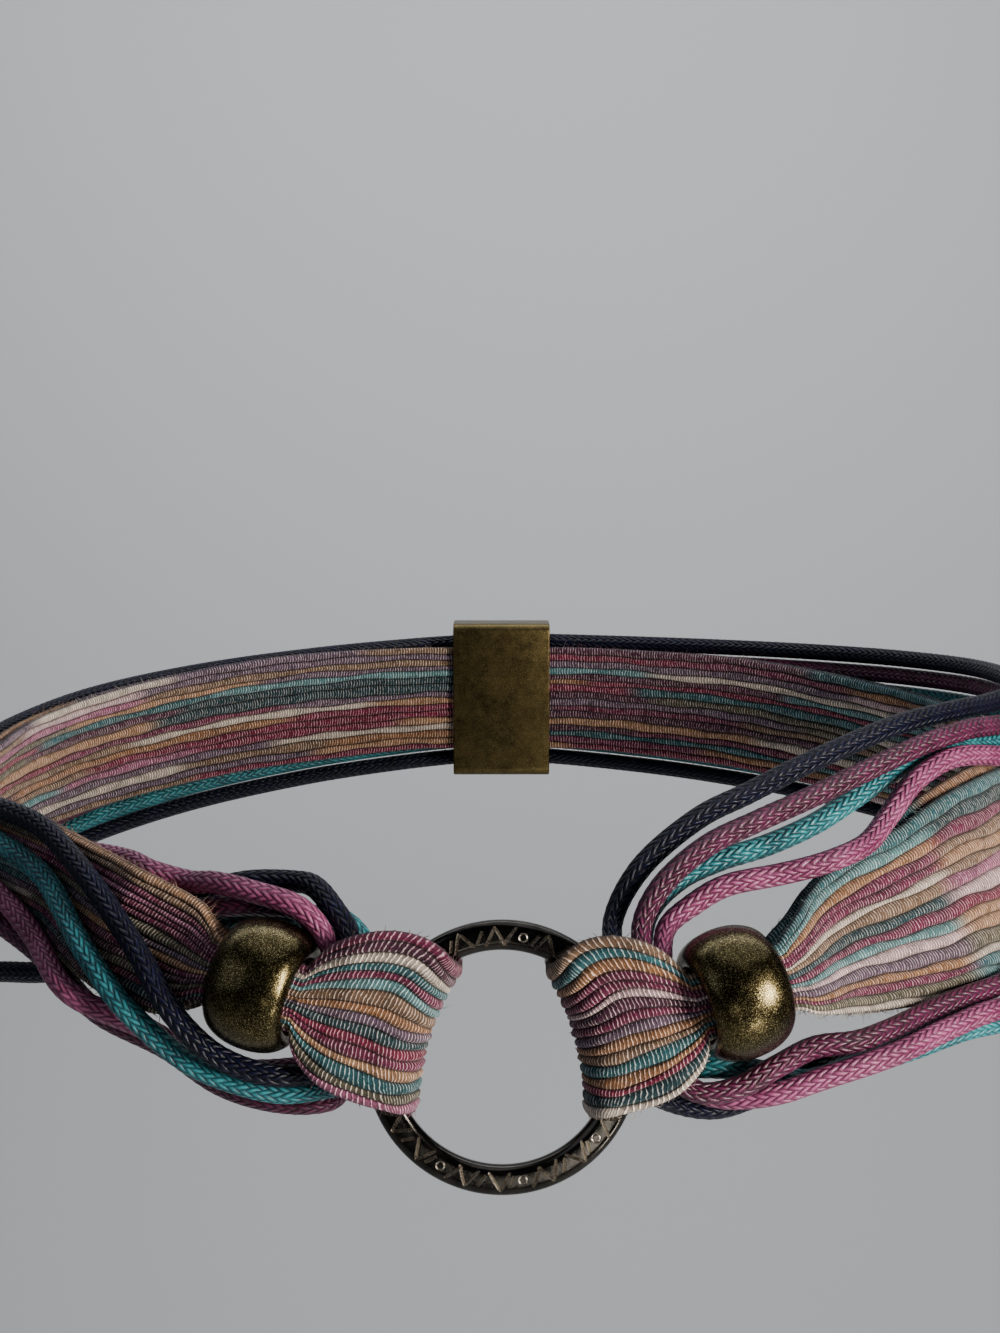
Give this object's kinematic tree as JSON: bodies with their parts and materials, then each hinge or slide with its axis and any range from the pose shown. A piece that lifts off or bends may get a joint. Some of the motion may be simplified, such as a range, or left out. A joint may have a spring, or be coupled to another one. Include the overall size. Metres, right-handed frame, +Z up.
{
  "type": "woven belt",
  "caption": "Woven fabric belt in its worn shape: ribbed bands looped round a metal ring, gathered through barrel beads, with braided cords along each band and an open waist.",
  "frame": {"origin": "on the axis of the wearer's waist, level with the middle of the sleeve at the back, where the belt sits on the hips", "axes": "+X to the right as seen from the front, -Y to the front ring, +Z up"},
  "size_m": [0.343, 0.2661, 0.1394],
  "materials": {
    "ring": "dark antique bronze, worn bright on the high edges, engraved lines",
    "bead": "antique brass, mottled olive patina, satin",
    "sleeve": "antique brass, plain satin",
    "woven_band": "thick ribs of many colours under fine pale cross threads, frayed edges",
    "cord_navy": "waxed round braid, slight sheen",
    "cord_magenta": "waxed round braid, slight sheen",
    "cord_teal": "waxed round braid, slight sheen",
    "cord_pink": "waxed round braid, slight sheen"
  },
  "bodies": {
    "belt": {"bead_right": "bead", "bead_left": "bead", "back_sleeve": "sleeve", "woven_band_right": "woven_band", "woven_band_left": "woven_band", "cord_navy_right": "cord_navy", "cord_magenta_right": "cord_magenta", "cord_teal_right": "cord_teal", "cord_pink_right": "cord_pink", "cord_navy_left": "cord_navy", "cord_teal_left": "cord_teal", "cord_magenta_left": "cord_magenta", "cord_pink_left": "cord_pink"},
    "ring": {"ring": "ring"}
  },
  "joints": [
    {"name": "ring_spin", "type": "hinge", "parent": "belt", "child": "ring", "pos_m": [0, -0.1216, -0.08], "axis": [0, -1, 0], "continuous": true}
  ]
}
